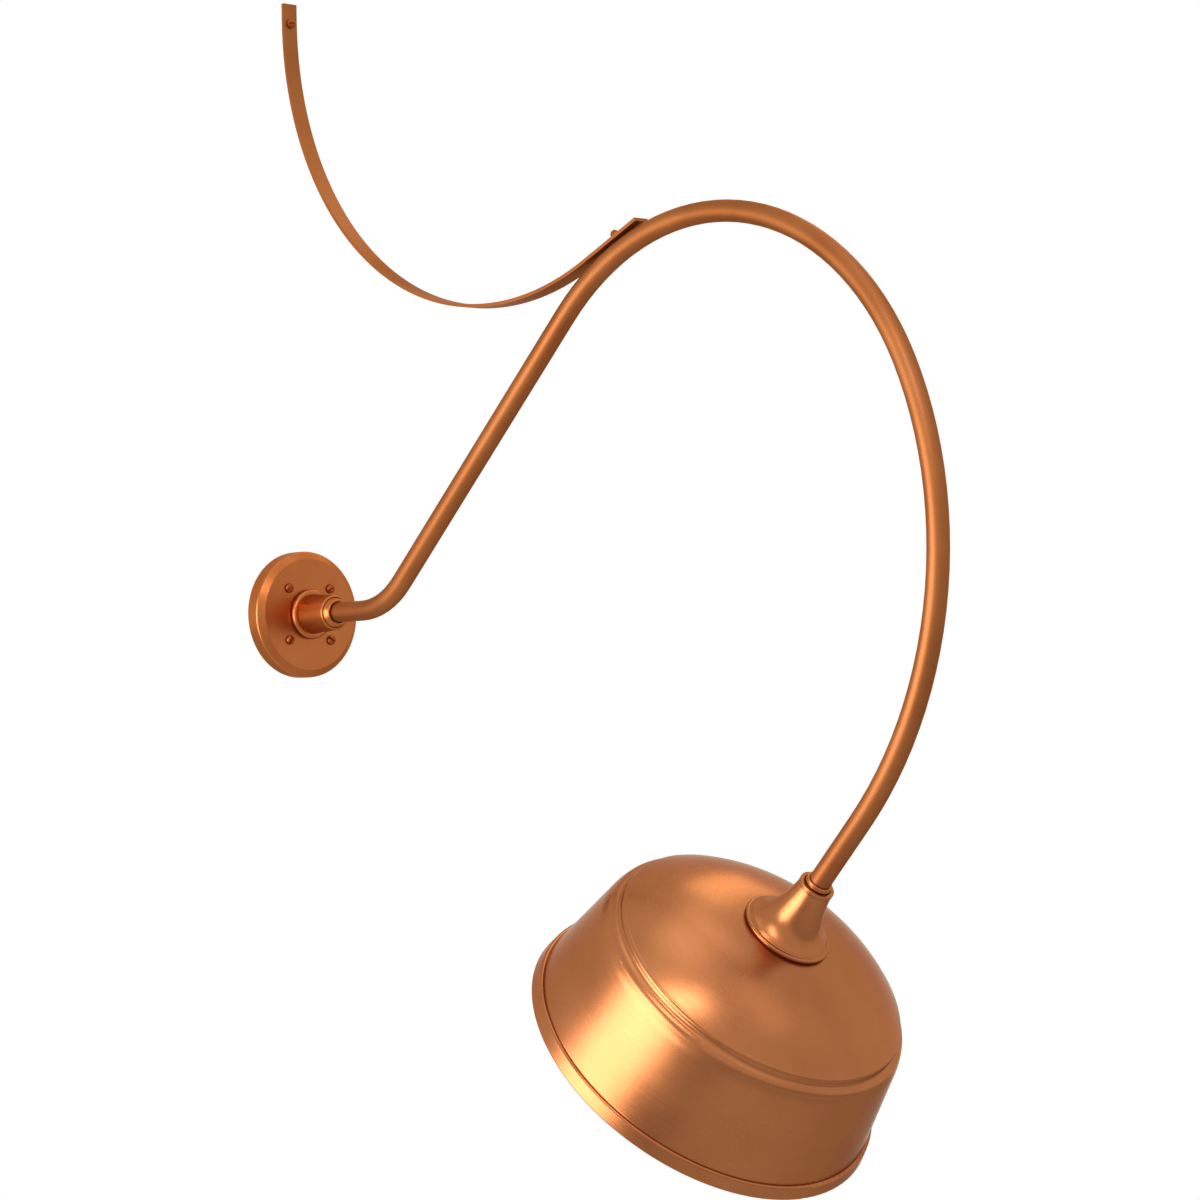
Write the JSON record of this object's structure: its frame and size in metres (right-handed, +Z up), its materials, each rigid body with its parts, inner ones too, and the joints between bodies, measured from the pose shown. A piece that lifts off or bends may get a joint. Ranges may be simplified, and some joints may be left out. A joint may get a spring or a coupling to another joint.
{
  "type": "gooseneck wall sconce",
  "caption": "Gooseneck wall light: round wall plate, long arched copper arm with a strap brace, and a tilted dome shade over a screw-in lamp.",
  "frame": {"origin": "centre of the wall plate, on the wall plane", "axes": "+Z up the wall, +Y into the wall, so the arm reaches out along -Y; arm, brace and shade axis lie in the plane X = 0"},
  "size_m": [0.3224, 0.8667, 1.0998],
  "materials": {
    "brushed_copper": "satin copper, brushed along the work, clear lacquered",
    "zinc_steel": "zinc plated",
    "bright_brass": "bright, as stamped",
    "nickel": "nickel plated",
    "porcelain": "glazed white",
    "black_plastic": "matte",
    "grey_jacket": "matte jacket",
    "white_insulation": "semi-gloss insulation",
    "green_insulation": "semi-gloss insulation",
    "connector_plastic": "semi-gloss",
    "lamp_plastic": "matte white",
    "lamp_diffuser": "frosted white",
    "board_white": "white solder mask"
  },
  "bodies": {
    "root": {"wall_plate": "brushed_copper", "plate_screws": "brushed_copper", "hub": "brushed_copper", "hub_locknut": "zinc_steel", "hub_set_screw": "zinc_steel", "arm_tube": "brushed_copper", "supply_cable": "grey_jacket", "inlet_bushing": "black_plastic", "outlet_bushing": "black_plastic", "brace_strap": "brushed_copper", "strap_wall_screw": "brushed_copper", "strap_clip_screw": "brushed_copper", "neck_ferrule": "brushed_copper", "jam_nut": "zinc_steel", "socket_cap": "bright_brass", "socket_body": "porcelain", "screw_shell": "bright_brass", "centre_contact": "bright_brass", "socket_screws": "zinc_steel", "terminal_screws": "bright_brass", "lead_live": "black_plastic", "lead_neutral": "white_insulation", "lead_ground": "green_insulation", "wire_connectors": "connector_plastic", "ground_screw": "bright_brass", "socket_lead_live": "black_plastic", "socket_lead_neutral": "white_insulation"},
    "head": {"shade_holder": "brushed_copper", "holder_set_screw": "zinc_steel", "shade": "brushed_copper", "shade_screws": "zinc_steel"},
    "lamp": {"lamp_cap": "nickel", "lamp_contact": "bright_brass", "lamp_body": "lamp_plastic", "led_board": "board_white", "lamp_globe": "lamp_diffuser"}
  },
  "joints": [
    {"name": "shade_turn", "type": "hinge", "parent": "root", "child": "head", "pos_m": [0, -0.69325, -0.24875], "axis": [0, -0.6988, 0.7153], "range_deg": [-180, 180]},
    {"name": "lamp_out", "type": "slide", "parent": "root", "child": "lamp", "axis": [0, 0.6988, -0.7153], "range_m": [0, 0.027]}
  ]
}
